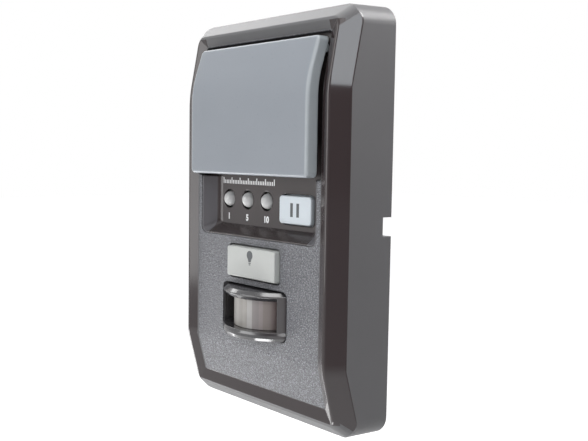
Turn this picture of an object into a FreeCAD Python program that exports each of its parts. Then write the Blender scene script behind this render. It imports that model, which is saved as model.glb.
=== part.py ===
import FreeCAD, Part
import math
import os

# Wall control for a powered garage door.
# X is across the face, Z is up, and the front faces -Y. The wall is the plane Y = 0.
# "Depth" is the distance out from the wall, so depth = -Y.

# Case outline
case_width = 77.6
case_height = 127.0
case_corner = 6.0
side_draft = 0.8
draft_depth = 17.0
case_wall = 2.0

# Raised rim: a flat crest between an outer bevel and an inner bevel
crest_depth = 21.9
crest_side_inset = 5.1
crest_end_inset = 4.9
crest_land = 0.8
bevel_slope = 1.29
mitre_round = 4.0
crest_round = 0.6

# The front is flat in the middle and leans back above and below two knees
upper_knee_drop = 24.6
lower_knee_z = -41.5
upper_lean = 0.193
lower_lean = 0.27
upper_knee_radius = 40.0
lower_knee_radius = 14.0

# Grained face inside the rim
face_depth = 20.35
side_bevel_run = 3.65
top_bevel_run = 3.4
bottom_bevel_run = 4.4

# Pocket below the push bar, and the deeper well behind it
pocket_side_border = 1.95
pocket_bottom = -6.1
pocket_corner = 2.6
panel_depth = 15.8
panel_side_run = 4.65
panel_bottom = -2.9
panel_wall = 1.6
panel_edge = 0.3
panel_side_lap = 3.55
panel_foot_lap = 1.7
panel_top_lap = 2.1
panel_side_fillet = 2.4
well_side_lap = 0.25
well_top_lap = 0.1
well_bottom = 12.7
well_corner = 1.0
trench_drop = 1.4
trench_reach = 2.4
seam = 0.1

# Back plate and what it carries
plate_thickness = 2.4
plate_gap = 0.25
wall_screw_spacing = 83.3
wall_screw_radius = 2.3
wall_screw_tube = 4.6
screw_head_space = 4.9
keyhole_drop = 8.5
keyhole_radius = 4.7
wire_window_x = 15.0
wire_window_top = 4.0
wire_window_bottom = -22.0
wire_window_corner = 1.5
notch_bottom = -3.4
notch_top = 2.2
notch_depth = 3.4
trough_wall = 1.5

# Circuit board
board_back = 7.0
board_thickness = 1.6
board_side_inset = 8.8
board_top = 36.0
board_bottom = -38.0
board_corner = 2.0
post_inset = 3.4
post_radius = 3.0

# Screws
board_screw_radius = 1.25
board_screw_head = 2.3
board_screw_head_height = 1.5
board_screw_grip = 4.0
case_screw_side_inset = 5.6
case_screw_end_inset = 5.3
case_screw_radius = 1.1
case_screw_head = 2.1
case_screw_head_height = 1.6
case_screw_web = 1.7
case_screw_grip = 6.0
counterbore = 2.3
counterbore_depth = 2.2
case_post_radius = 2.6
case_pad_rim = 0.2
panel_screw_side_inset = 2.6
panel_screw_foot_inset = 3.2
panel_screw_well_gap = 3.3
panel_screw_radius = 0.9
panel_screw_head = 1.7
panel_screw_head_height = 1.0
panel_screw_grip = 1.5
cross_width = 0.6
cross_depth = 0.7
cross_share = 0.65
terminal_cross_share = 0.7
thread_gap = 0.04
thread_end_gap = 0.3

# Push bar
bar_side_gap = 1.5
bar_bottom_gap = 0.8
bar_top_gap = 1.4
bar_depth = 24.8
bar_knee_drop = 12.9
bar_knee_radius = 30.0
bar_lean = 0.325
bar_side_depth = 3.9
bar_skin = 1.6
bar_wall = 1.2
bar_edge_radius = 0.9
bar_corner = 1.6
diffuser_thickness = 0.5
diffuser_gap = 0.05
carrier_offset = 4.0
carrier_thickness = 1.4
carrier_corner = 0.5
bar_fit = 0.15
carrier_top_gap = 2.6
carrier_bar_half = 3.6
carrier_side_bar = 5.2
carrier_window_bottom = 22.6
carrier_top_bar = 4.4
carrier_window_corner = 1.5
carrier_arm_share = 0.9
bar_pivot_drop = 3.3
bar_pivot_depth = 17.6
pin_radius = 0.75
pin_gap = 0.05
pin_press = 0.02
lug_radius = 1.4
lug_thickness = 1.6
lug_web_half = 1.0
ear_radius = 1.35
ear_reach = 4.6
ear_thickness = 2.0
ear_gap = 0.25
actuator_rise = 6.5
actuator_half = 1.5
actuator_room = 1.2
bar_travel_deg = 2.3
spring_pad_gap = 7.0
spring_rise = 4.9
spring_radius = 1.8
spring_wire = 0.18
spring_turns = 2
spring_hole = 2.6
spring_pin_height = 0.6
spring_pin_radius = 1.3
rest_pad_side_inset = 7.8
rest_pad_rise = 3.4
rest_pad_radius = 1.2
rest_pad_gap = 0.06

# Switches: one low square push switch behind every button
switch_half = 3.0
switch_height = 3.2
switch_corner = 0.4
plunger_radius = 1.3
plunger_height = 0.8
plunger_bore_gap = 0.06
plunger_foot = 0.9
plunger_foot_gap = 0.36
switch_gap = 0.3
bar_switch_travel = 0.25
bar_switch_gap = 0.05

# Buttons
hold_side_inset = 8.35
hold_z = 3.3
hold_half_x = 7.35
hold_half_z = 4.4
hold_proud = 1.2
hold_draft = 0.1
light_z = -14.2
light_half_x = 12.3
light_half_z = 5.2
light_proud = 1.65
light_corner = 0.8
hold_corner = 1.2
button_gap = 0.3
light_draft = 0.45
button_edge = 0.45
button_flange = 1.2
flange_overlap = 1.0
flange_gap = 0.1
stem_radius = 1.8
hidden_drop = 6.0
hidden_side_inset = 13.3
hidden_half_x = 4.6
hidden_half_z = 2.9
hidden_proud = 1.0

# Timer lamps and bar lamps
lamp_side_gap = 1.2
lamp_button_extra = 0.9
lamp_z = 5.2
lamp_radius = 2.5
lamp_flange = 2.9
lamp_flange_height = 1.0
lamp_proud = 1.6
lamp_hole_gap = 0.6
lead_thickness = 0.5
lead_gap = 1.1
lead_post_height = 4.6
lead_cup_height = 5.2
lead_cup_depth = 1.2
lead_cup_half = 0.85
lead_post_half = 0.5
bar_lamp_inset = 8.0
bar_lamp_drop = 3.6
bar_lamp_radius = 1.5
bar_lamp_height = 4.6
bar_lamp_hole = 1.9

# Motion sensor, its lens and its bezel
sensor_z = -29.2
sensor_x = 16.0
sensor_half_z = 7.75
sensor_corner = 2.0
bezel_gap = 0.2
bezel_axis_depth = 9.0
bezel_radius = 18.4
bezel_lip_bulge = 18.8
bezel_top_gap = 0.25
brow_round = 1.1
bezel_side_lean = 0.7
bezel_side_front = 21.4
bezel_front_x = 14.9
brow_height = 2.7
brow_chamfer = 1.2
lip_height = 2.75
lip_step = 0.8
edge_break = 0.5
window_x = 13.2
sensor_flange_corner = 1.0
bezel_back = 17.0
bezel_flange_x = 17.6
bezel_flange_z = 9.0
lens_axis_depth = 12.7
lens_radius = 12.1
lens_wall = 0.7
lens_flange = 0.75
lens_flange_x = 15.2
lens_flange_z = 6.6
lens_gap = 0.12
shroud_depth = 2.9
shroud_hole_x = 10.2
shroud_hole_z = 4.4
shroud_hole_gap = 0.6
shroud_hole_corner = 0.8
shroud_foot_inset = 1.6
shroud_foot_radius = 1.2
can_radius = 4.1
can_brim = 4.6
can_brim_height = 0.6
can_height = 4.2
filter_x = 2.0
filter_z = 1.5
filter_recess = 0.3
filter_thickness = 0.2
filter_gap = 0.05

# Terminal block on the back of the board
block_x = 11.0
block_z = (-20.2, -9.2)
block_back = 2.6
terminal_x = 5.5
terminal_z = -14.7
terminal_plate_half = 3.6
terminal_plate_thickness = 0.8
terminal_plate_corner = 0.6
terminal_screw_radius = 1.4
terminal_screw_head = 2.6
terminal_screw_head_height = 1.2
terminal_screw_length = 4.4
block_rib = 0.8
block_rib_height = 1.6

# Other board parts
chip_at = (17.5, -12.0)
chip_half = 4.5
chip_height = 1.2
chip_corner = 0.3
capacitor_side_inset = 5.0
capacitor_pitch = 7.0
capacitor_z = 14.4
capacitor_radius = 2.9
capacitor_height = 4.8
crystal_at = (19.5, -21.6)
crystal_half = (2.6, 1.0)
crystal_height = 2.2
crystal_round = 0.9
resistor_half = (1.0, 0.6)
resistor_height = 0.5
resistor_rows = ((-19.0, -9.0), (-19.0, -17.0), (8.0, 12.6), (12.0, 22.4), (-20.0, 22.4))
resistor_pitch = 3.2
resistors_in_row = 3

# Values worked out from the sizes above
half_width = case_width / 2
half_height = case_height / 2
crest_x = half_width - crest_side_inset
crest_z = half_height - crest_end_inset
upper_knee_z = half_height - upper_knee_drop
face_x = crest_x - side_bevel_run
face_top = crest_z - top_bevel_run
face_bottom = bottom_bevel_run - crest_z
face_back = face_depth - case_wall
knee_turn = math.atan(max(upper_lean, lower_lean)) / 2
knee_sag = max(upper_knee_radius, lower_knee_radius) * (1 / math.cos(knee_turn) - 1) + seam

pocket_x = face_x - pocket_side_border
panel_x = pocket_x - panel_side_run
panel_back = panel_depth - panel_wall
well_x = face_x + well_side_lap
well_top = face_top + well_top_lap
panel_flange_x = face_x + panel_side_lap
panel_flange_bottom = pocket_bottom - panel_foot_lap
panel_flange_top = well_top + panel_top_lap

bar_x = well_x - bar_side_gap
bar_bottom = well_bottom + bar_bottom_gap
bar_top = well_top - bar_top_gap
bar_knee_z = bar_top - bar_knee_drop
bar_pivot_z = bar_top - bar_pivot_drop
trench_depth = panel_depth - trench_drop
trench_bottom = bar_pivot_z - trench_reach
carrier_front = bar_depth - carrier_offset
carrier_back = carrier_front - carrier_thickness
carrier_x = bar_x - bar_wall - bar_fit
carrier_top = bar_pivot_z - carrier_top_gap
carrier_window_x = bar_x - carrier_side_bar
carrier_window_top = carrier_top - carrier_top_bar
rest_pad_x = bar_x - rest_pad_side_inset
rest_pad_z = bar_bottom + rest_pad_rise
spring_x = rest_pad_x - spring_pad_gap
spring_z = bar_bottom + spring_rise

tube_z = wall_screw_spacing / 2
tube_front = trench_depth - panel_wall - seam
keyhole_seat_z = -tube_z
board_front = board_back + board_thickness
board_x = half_width - board_side_inset
post_x = board_x - post_inset
post_z_high = board_top - post_inset
post_z_low = board_bottom + post_inset
case_screw_x = half_width - case_screw_side_inset
case_screw_z = half_height - case_screw_end_inset
panel_screw_x = panel_flange_x - panel_screw_side_inset
panel_screw_z = (panel_flange_bottom + panel_screw_foot_inset, well_bottom - panel_screw_well_gap)

switch_top = board_front + switch_height
plunger_top = switch_top + plunger_height
cap_seat = plunger_top + switch_gap
actuator_z = bar_bottom + actuator_rise
pivot_arm = bar_pivot_z - actuator_z
actuator_stroke = pivot_arm * math.sin(math.radians(bar_travel_deg))
actuator_tip = plunger_top - bar_switch_travel + actuator_stroke + bar_switch_gap

hold_x = panel_x - hold_side_inset
hidden_z = board_top - hidden_drop
hidden_pitch = well_x - hidden_side_inset
bar_lamp_x = hidden_pitch - bar_lamp_inset
bar_lamp_z = hidden_z - bar_lamp_drop
lamp_hole = lamp_radius + lamp_hole_gap
lamp_room = panel_x + hold_x - hold_half_x - 6 * lamp_hole
lamp_space = (lamp_room - lamp_side_gap - lamp_button_extra) / 3
lamp_pitch = 2 * lamp_hole + lamp_space
first_lamp_x = lamp_side_gap + lamp_hole - panel_x

far = 300.0
far_front = 45.0


def at(x, depth, z):
    return FreeCAD.Vector(x, -depth, z)


def block(x0, x1, d0, d1, z0, z1):
    return Part.makeBox(x1 - x0, d1 - d0, z1 - z0, at(x0, d1, z0))


def post(radius, d0, d1, x, z):
    return Part.makeCylinder(radius, d1 - d0, at(x, d0, z), FreeCAD.Vector(0, -1, 0))


def cross_rod(radius, x0, x1, depth, z):
    return Part.makeCylinder(radius, x1 - x0, at(x0, depth, z), FreeCAD.Vector(1, 0, 0))


def joined(shapes):
    whole = shapes[0]
    if len(shapes) > 1:
        whole = whole.fuse(shapes[1:])
    return whole.removeSplitter()


def group(shapes):
    return Part.makeCompound(shapes)


def rounded_wire(points, radii, place):
    """A closed outline through flat points, each corner rounded to its radius."""
    count = len(points)
    flat = [FreeCAD.Vector(p[0], p[1], 0) for p in points]
    starts = []
    ends = []
    middles = []
    for i in range(count):
        corner = flat[i]
        back = (flat[i - 1] - corner).normalize()
        ahead = (flat[(i + 1) % count] - corner).normalize()
        radius = radii[i]
        if radius <= 0:
            starts.append(corner)
            ends.append(corner)
            middles.append(None)
            continue
        half = back.getAngle(ahead) / 2
        inward = (back + ahead).normalize()
        centre = corner + inward * (radius / math.sin(half))
        starts.append(corner + back * (radius / math.tan(half)))
        ends.append(corner + ahead * (radius / math.tan(half)))
        middles.append(centre - inward * radius)
    edges = []
    for i in range(count):
        if middles[i] is not None:
            arc = Part.Arc(place(starts[i]), place(middles[i]), place(ends[i]))
            edges.append(arc.toShape())
        following = starts[(i + 1) % count]
        if (following - ends[i]).Length > 1e-6:
            edges.append(Part.LineSegment(place(ends[i]), place(following)).toShape())
    return Part.Wire(edges)


def on_face(depth):
    """Puts a flat (x, z) outline at a depth."""
    return lambda p: at(p.x, depth, p.y)


def on_side(p):
    """Puts a flat (depth, z) outline on the plane X = 0."""
    return at(0, p.x, p.y)


def plate(half_x, z0, z1, d0, d1, corner, x=0.0):
    points = [(x - half_x, z0), (x + half_x, z0), (x + half_x, z1), (x - half_x, z1)]
    outline = rounded_wire(points, [corner] * 4, on_face(d0))
    return Part.Face(outline).extrude(at(0, d1 - d0, 0))


def tapered(half_x0, half_z0, d0, half_x1, half_z1, d1, corner, x, z):
    """A block whose four sides lean in from depth d0 to depth d1."""
    wires = []
    for half_x, half_z, depth in ((half_x0, half_z0, d0), (half_x1, half_z1, d1)):
        points = [(x - half_x, z - half_z), (x + half_x, z - half_z)]
        points += [(x + half_x, z + half_z), (x - half_x, z + half_z)]
        wires.append(rounded_wire(points, [corner] * 4, on_face(depth)))
    return Part.makeLoft(wires, True, True)


def edges_where(shape, test):
    return [e for e in shape.Edges if test(e, e.BoundBox)]


def leaning(depth, z):
    """Depth at height z of a front surface that lies at a given depth between the knees."""
    if z > upper_knee_z:
        return depth - upper_lean * (z - upper_knee_z)
    if z < lower_knee_z:
        return depth - lower_lean * (lower_knee_z - z)
    return depth


def front_line(depth):
    """Points and corner radii of the leaning front, from below to above."""
    points = [(leaning(depth, -far), -far), (depth, lower_knee_z)]
    points += [(depth, upper_knee_z), (leaning(depth, far), far)]
    return points, [0, lower_knee_radius, upper_knee_radius, 0]


def side_region(line, limit):
    """The side view between a front line and a flat limit behind or ahead of it."""
    points, radii = line
    outline = list(points) + [(limit, points[-1][1]), (limit, points[0][1])]
    return Part.Face(rounded_wire(outline, list(radii) + [0, 0], on_side))


def swept(region, x=0.0, slope=0.0):
    """A side view swept right across, level or falling back by a slope for each unit towards +X."""
    run = FreeCAD.Vector(far, slope * far, 0)
    start = region.copy()
    start.translate(FreeCAD.Vector(x, 0, 0) - run)
    return start.extrude(run * 2)


def half_space(depth, z, slope, limit):
    """Everything between a straight slope in the side view and a flat limit."""
    line = [(depth + slope * far, z - far), (depth - slope * far, z + far)]
    return swept(side_region((line, [0, 0]), limit))


def behind(depth):
    return swept(side_region(front_line(depth), -far))


def between_depths(front, back):
    return behind(front).cut(behind(back))


def case_block(wall):
    """The solid outer form of the case, made smaller all round by a wall."""
    thick = wall * math.hypot(1, bevel_slope)
    front = crest_depth if wall == 0 else face_back
    outline = []
    for depth in (0.0, draft_depth):
        inset = wall + side_draft * depth / draft_depth
        half_x = half_width - inset
        half_z = half_height - inset
        points = [(-half_x, -half_z), (half_x, -half_z), (half_x, half_z), (-half_x, half_z)]
        outline.append(rounded_wire(points, [case_corner - wall] * 4, on_face(depth)))
    sides = Part.makeLoft(outline, True, True)
    cap = Part.Face(outline[1]).extrude(at(0, crest_depth - draft_depth + 1, 0))
    whole = sides.fuse(cap).common(behind(front))
    region = side_region(front_line(crest_depth - thick), -far)
    edge_x = crest_x + crest_land / 2
    edge_z = crest_z + crest_land / 2
    for sign in (-1, 1):
        depth = leaning(crest_depth, sign * edge_z) - thick
        whole = whole.common(half_space(depth, sign * edge_z, sign * bevel_slope, -2 * far))
        whole = whole.common(swept(region, sign * edge_x, sign * bevel_slope))
    return whole


def crest_edges(shape):
    """The crest's outer edges: all that lie on the front and don't run straight across it."""
    chosen = []
    for edge in shape.Edges:
        middle = edge.valueAt((edge.FirstParameter + edge.LastParameter) / 2)
        on_front = -middle.y > leaning(crest_depth, middle.z) - knee_sag
        across = abs(middle.x) < crest_x / 2 and abs(middle.z) < crest_z
        if on_front and not across:
            chosen.append(edge)
    return chosen


def mitre_shaving(side, end):
    """What is taken off one corner, so that its two bevels meet in a round instead of a sharp mitre."""
    lean = upper_lean if end > 0 else lower_lean
    edge_x = crest_x + crest_land / 2
    edge_z = crest_z + crest_land / 2
    tip = at(side * edge_x, leaning(crest_depth, end * edge_z), end * edge_z)
    side_out = at(side * bevel_slope, 1, end * lean).normalize()
    end_out = at(0, 1, end * bevel_slope).normalize()
    both = (side_out + end_out) / (1 + side_out.dot(end_out))
    along = side_out.cross(end_out).normalize()
    start = tip - along * far
    centre = start - both * mitre_round
    near = centre + side_out * mitre_round
    away = centre + end_out * mitre_round
    ring = [centre, near, near + side_out, start + both, away + end_out, away, centre]
    wedge = Part.Face(Part.makePolygon(ring)).extrude(along * 2 * far)
    return wedge.cut(Part.makeCylinder(mitre_round, 2 * far, centre, along))


def outer_form():
    """The outside of the case, softened where the bevels meet at the corners and along the crest."""
    whole = case_block(0)
    for side in (-1, 1):
        for end in (-1, 1):
            whole = whole.cut(mitre_shaving(side, end))
    return whole.makeFillet(crest_round, crest_edges(whole))


def face_recess():
    """What is cut away in front of the grained face, with the inner bevel round it."""
    ahead = side_region(front_line(face_depth), far)
    space = swept(ahead)
    inner_x = crest_x - crest_land / 2
    inner_z = crest_z - crest_land / 2
    rise_x = (crest_depth - face_depth) / (inner_x - face_x)
    for sign, edge_z in ((1, face_top), (-1, face_bottom)):
        space = space.common(swept(ahead, sign * face_x, -sign * rise_x))
        low = leaning(face_depth, edge_z)
        high = leaning(crest_depth, sign * inner_z)
        rise_z = (high - low) / (inner_z - abs(edge_z))
        space = space.common(half_space(low, edge_z, -sign * rise_z, 2 * far))
    return space


def pocket_opening(grow, d0, d1):
    """The mouth of the pocket and of the well above it, through the cover's face."""
    above = well_bottom + pocket_corner * 2
    mouth = plate(pocket_x + grow, pocket_bottom - grow, above, d0, d1, pocket_corner)
    return mouth.fuse(plate(well_x, well_bottom, well_top, d0, d1, well_corner))


def pocket_space():
    """The tapered pocket: steep foot, sloping sides, rounded where the walls meet."""
    rise = crest_depth + 1
    flare = (pocket_x - panel_x) / (face_depth - panel_depth)
    fall = (panel_bottom - pocket_bottom) / (face_depth - panel_depth)
    top = well_bottom + 4 * seam
    wires = []
    for depth in (panel_depth, rise):
        half_x = panel_x + flare * (depth - panel_depth)
        low = panel_bottom - fall * (depth - panel_depth)
        points = [(-half_x, low), (half_x, low), (half_x, top), (-half_x, top)]
        wires.append(rounded_wire(points, [0] * 4, on_face(depth)))
    space = Part.makeLoft(wires, True, True)
    corners = edges_where(space, lambda e, b: b.YLength > 1 and b.ZMax < 0)
    upright = edges_where(space, lambda e, b: b.YLength < 0.01 and b.XLength < 0.01)
    floor_sides = [e for e in upright if e.BoundBox.YMax > -panel_depth - 0.01]
    space = space.makeFillet(panel_side_fillet, corners + floor_sides)
    return space


def hinge_round(radius, x0, x1):
    return cross_rod(radius, x0, x1, bar_pivot_depth, bar_pivot_z)


def hinge_spans(side):
    """Spans along the hinge of the cap's knuckle, the panel's ear and the carrier's knuckle."""
    inner_wall = bar_x - bar_wall
    cap = (inner_wall - lug_thickness, inner_wall + bar_wall / 2)
    ear = (cap[0] - ear_gap - ear_thickness, cap[0] - ear_gap)
    carrier = (ear[0] - ear_gap - lug_thickness, ear[0] - ear_gap)
    return [tuple(sorted((side * a, side * b))) for a, b in (cap, ear, carrier)]


def hinge_ear(x0, x1):
    """An eye for the hinge pin on a leg that leans down and back, clear of the bar as it lifts."""
    lean = math.sqrt(0.5)
    side = ear_radius * lean
    drop = ear_reach * lean
    corners = [(side * s - drop * t, -side * s - drop * t) for s, t in ((-1, 0), (-1, 1), (1, 1), (1, 0))]
    points = [(bar_pivot_depth + d, bar_pivot_z + z) for d, z in corners]
    leg = Part.Face(rounded_wire(points, [0] * 4, on_side)).extrude(FreeCAD.Vector(x1 - x0, 0, 0))
    leg.translate(FreeCAD.Vector(x0, 0, 0))
    eye = leg.fuse(hinge_round(ear_radius, x0, x1))
    return eye.cut(hinge_round(pin_radius + pin_gap, x0 - 1, x1 + 1))


def cross_recess(depth, x, z, half, facing):
    """The crossed slots in a screw head. Facing 1 opens towards the room, -1 towards the wall."""
    d0, d1 = (depth - cross_depth, depth + 1) if facing > 0 else (depth - 1, depth + cross_depth)
    w = cross_width / 2
    upright = block(x - w, x + w, d0, d1, z - half, z + half)
    level = block(x - half, x + half, d0, d1, z - w, z + w)
    return upright.fuse(level)


def case_screw_points():
    return [(sx * case_screw_x, sz * case_screw_z) for sx in (-1, 1) for sz in (-1, 1)]


def board_post_points():
    return [(sx * post_x, z) for sx in (-1, 1) for z in (post_z_low, post_z_high)]


def panel_screw_points():
    return [(sx * panel_screw_x, z) for sx in (-1, 1) for z in panel_screw_z]


def buttons():
    """Centre, half sizes, surface it stands in, back of that wall, height above it, corner and draft."""
    wall = (panel_depth, panel_back)
    hold = (hold_x, hold_z, hold_half_x, hold_half_z) + wall
    rows = {"hold_button": hold + (hold_proud, hold_corner, hold_draft)}
    light = (0.0, light_z, light_half_x, light_half_z, face_depth, face_back)
    rows["light_button"] = light + (light_proud, light_corner, light_draft)
    for name, side in (("lock_button", -1), ("learn_button", 0), ("timer_button", 1)):
        hidden = (side * hidden_pitch, hidden_z, hidden_half_x, hidden_half_z) + wall
        rows[name] = hidden + (hidden_proud, hold_corner, hold_draft)
    return rows


def button_hole(name):
    x, z, half_x, half_z, front, back, _, corner, _ = buttons()[name]
    grown_x = half_x + button_gap
    grown_z = half_z + button_gap
    return plate(grown_x, z - grown_z, z + grown_z, back - 1, front + 1, corner + button_gap, x)


def front_cover():
    """Moulded cover: rim, grained face and side walls in one shell, open at the back."""
    shell = outer_form().cut(case_block(case_wall))
    shell = shell.cut(face_recess())
    posts = []
    post_back = counterbore_depth + case_screw_web + seam
    for x, z in case_screw_points():
        posts.append(post(case_post_radius, post_back, face_depth, x, z))
    stems = joined(posts).common(case_block(case_wall / 2))
    shell = shell.fuse(stems).removeSplitter()
    hole_end = post_back + case_screw_grip + thread_end_gap
    for x, z in case_screw_points():
        shell = shell.cut(post(case_screw_radius + thread_gap, 0, hole_end, x, z))
    shell = shell.cut(pocket_opening(panel_edge + seam, board_front, far_front))
    shell = shell.cut(button_hole("light_button"))
    low = sensor_z - sensor_half_z
    high = sensor_z + sensor_half_z
    shell = shell.cut(plate(sensor_x, low, high, face_back - 1, far_front, sensor_corner))
    hole = panel_screw_radius + thread_gap
    for x, z in panel_screw_points():
        shell = shell.cut(post(hole, face_back - 1, face_back + panel_screw_grip, x, z))
    notch = block(half_width - 3 * case_wall, half_width + 1, -1, notch_depth, notch_bottom, notch_top)
    return shell.cut(notch)


def back_plate():
    """Moulded back: flat against the wall, with the screw tube, keyhole, wire window and board posts."""
    half_x = half_width - case_wall - plate_gap
    half_z = half_height - case_wall - plate_gap
    corner = case_corner - case_wall
    base = plate(half_x, -half_z, half_z, 0, plate_thickness, corner)
    parts = [base, post(wall_screw_tube, 0, tube_front, 0, tube_z)]
    for x, z in board_post_points():
        parts.append(post(post_radius, 0, board_back, x, z))
    pad_radius = case_post_radius + case_pad_rim
    inside = plate(half_x, -half_z, half_z, 0, far_front, corner)
    for x, z in case_screw_points():
        pad = post(pad_radius, 0, counterbore_depth + case_screw_web, x, z)
        parts.append(pad.common(inside))
    trough_low = notch_bottom - trough_wall
    trough_high = notch_top + trough_wall
    trough = block(wire_window_x, half_x, 0, notch_depth + trough_wall, trough_low, trough_high)
    parts.append(trough)
    body = joined(parts)
    cuts = [post(wall_screw_radius, -1, far_front, 0, tube_z)]
    hole = board_screw_radius + thread_gap
    for x, z in board_post_points():
        cuts.append(post(hole, board_back - board_screw_grip, board_back + 1, x, z))
    for x, z in case_screw_points():
        cuts.append(post(counterbore, -1, counterbore_depth, x, z))
        cuts.append(post(case_screw_radius + thread_gap, 0, far_front, x, z))
    through = plate_thickness + 1
    cuts.append(plate(wire_window_x, wire_window_bottom, wire_window_top, -1, through, wire_window_corner))
    cuts.append(block(wire_window_x - 1, half_x + 1, -1, notch_depth, notch_bottom, notch_top))
    seat = keyhole_seat_z
    cuts.append(post(wall_screw_radius, -1, through, 0, seat))
    cuts.append(block(-wall_screw_radius, wall_screw_radius, -1, through, seat - keyhole_drop, seat))
    cuts.append(post(keyhole_radius, -1, through, 0, seat - keyhole_drop))
    for cut in cuts:
        body = body.cut(cut)
    return body


def control_panel():
    """Dark moulded tray behind the cover: pocket, well, lamp holes, button holes and hinge ears."""
    front = face_back - seam / 2
    layer = between_depths(front, front - panel_wall)
    reach = panel_flange_x
    flange = layer.common(block(-reach, reach, 0, far_front, panel_flange_bottom, panel_flange_top))
    edge_x = pocket_x + panel_edge
    edge_z = pocket_bottom - panel_edge
    pocket = plate(edge_x, edge_z, well_bottom + 1.0, panel_back, face_depth - seam, pocket_corner)
    flat_top = block(-edge_x, edge_x, panel_back, face_back, well_bottom - 2.0, well_bottom + 1.0)
    wide = well_x + seam + panel_wall
    high = well_top + seam + panel_wall
    well = block(-wide, wide, panel_back, far_front, well_bottom - panel_wall, high).common(behind(front))
    body = joined([flange, pocket, flat_top, well])
    body = body.cut(pocket_space())
    clear_x = well_x + seam
    floor_cut = block(-clear_x, clear_x, panel_depth, far_front, well_bottom - seam, well_top + seam)
    body = body.cut(floor_cut)
    room = block(-pocket_x, pocket_x, face_depth, far_front, pocket_bottom, well_bottom + 1)
    body = body.cut(room)
    trench_back = trench_depth - panel_wall
    trench_shell = block(-wide, wide, trench_back, panel_depth, trench_bottom - panel_wall, high)
    trench = block(-clear_x, clear_x, trench_depth, panel_depth + seam, trench_bottom, well_top + seam)
    body = body.fuse(trench_shell.common(behind(front))).cut(trench)
    ears = []
    for side in (-1, 1):
        x0, x1 = hinge_spans(side)[1]
        ears.append(hinge_ear(x0, x1))
    pad_top = carrier_back - rest_pad_gap
    for side in (-1, 1):
        ears.append(post(rest_pad_radius, panel_back, pad_top, side * rest_pad_x, rest_pad_z))
    body = joined([body] + ears)
    back = panel_back - 1
    front = panel_depth + 1
    cuts = [post(screw_head_space, tube_front, front, 0, tube_z)]
    for x in lamp_points():
        cuts.append(post(lamp_hole, back, front, x, lamp_z))
    for side in (-1, 1):
        cuts.append(post(bar_lamp_hole, back, front, side * bar_lamp_x, bar_lamp_z))
    room = actuator_half + actuator_room
    cuts.append(block(-room, room, back, front, actuator_z - room, actuator_z + room))
    for name in ("hold_button", "lock_button", "learn_button", "timer_button"):
        cuts.append(button_hole(name))
    for x, z in panel_screw_points():
        cuts.append(post(panel_screw_radius + thread_gap, 0, far_front, x, z))
    for x, z in case_screw_points():
        cuts.append(post(case_post_radius + plate_gap, 0, far_front, x, z))
    for cut in cuts:
        body = body.cut(cut)
    return body


def case_screws():
    screws = []
    seat = counterbore_depth
    for x, z in case_screw_points():
        head = post(case_screw_head, seat - case_screw_head_height, seat, x, z)
        shank = post(case_screw_radius, seat, seat + case_screw_web + case_screw_grip, x, z)
        screw = head.fuse(shank).removeSplitter()
        slots = cross_recess(seat - case_screw_head_height, x, z, case_screw_head * cross_share, -1)
        screws.append(screw.cut(slots))
    return group(screws)


def board_screws():
    screws = []
    top = board_front + board_screw_head_height
    tip = board_back - board_screw_grip + thread_end_gap
    for x, z in board_post_points():
        head = post(board_screw_head, board_front, top, x, z)
        shank = post(board_screw_radius, tip, board_front, x, z)
        screw = head.fuse(shank).removeSplitter()
        screws.append(screw.cut(cross_recess(top, x, z, board_screw_head * cross_share, 1)))
    return group(screws)


def panel_screws():
    screws = []
    under = face_back - seam / 2 - panel_wall
    for x, z in panel_screw_points():
        head = post(panel_screw_head, under - panel_screw_head_height, under, x, z)
        shank = post(panel_screw_radius, under, face_back + panel_screw_grip - thread_end_gap, x, z)
        screw = head.fuse(shank).removeSplitter()
        slots = cross_recess(under - panel_screw_head_height, x, z, panel_screw_head * cross_share, -1)
        screws.append(screw.cut(slots))
    return group(screws)


def circuit_board():
    board = plate(board_x, board_bottom, board_top, board_back, board_front, board_corner)
    for x, z in board_post_points():
        board = board.cut(post(board_screw_radius + thread_gap, 0, far_front, x, z))
    return board


def switch_points():
    points = {"bar_switch_plunger": (0.0, actuator_z)}
    for name, row in buttons().items():
        points[name.replace("button", "switch_plunger")] = (row[0], row[1])
    return points


def switch_bodies():
    shapes = []
    for x, z in switch_points().values():
        low = z - switch_half
        body = plate(switch_half, low, z + switch_half, board_front, switch_top, switch_corner, x)
        bore = post(plunger_radius + plunger_bore_gap, switch_top - plunger_foot, switch_top + 1, x, z)
        shapes.append(body.cut(bore))
    return group(shapes)


def switch_plunger(x, z):
    """A round button whose foot keeps clear of the bottom of its bore by the travel."""
    foot = switch_top - plunger_foot + plunger_foot_gap
    return post(plunger_radius, foot, plunger_top, x, z)


def push_button(name):
    """A cap with softened edges, a flange that holds it behind the panel, and a stem to its switch."""
    x, z, half_x, half_z, front, back, proud, corner, draft = buttons()[name]
    flange_front = back - flange_gap
    flange_back = flange_front - button_flange
    top = front + proud
    narrow_x = half_x - draft
    narrow_z = half_z - draft
    cap = tapered(half_x, half_z, flange_front, narrow_x, narrow_z, top, corner, x, z)
    rim = edges_where(cap, lambda e, b: b.YMax < -top + 0.01)
    cap = cap.makeFillet(button_edge, rim)
    wide_x = half_x + button_gap + flange_overlap
    wide_z = half_z if name == "light_button" else half_z + button_gap + flange_overlap
    flange = plate(wide_x, z - wide_z, z + wide_z, flange_back, flange_front, corner, x)
    parts = [cap, flange]
    if flange_back > cap_seat:
        parts.append(post(stem_radius, cap_seat, flange_back, x, z))
    return joined(parts)


def lamp_points():
    return [first_lamp_x + i * lamp_pitch for i in range(3)]


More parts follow.
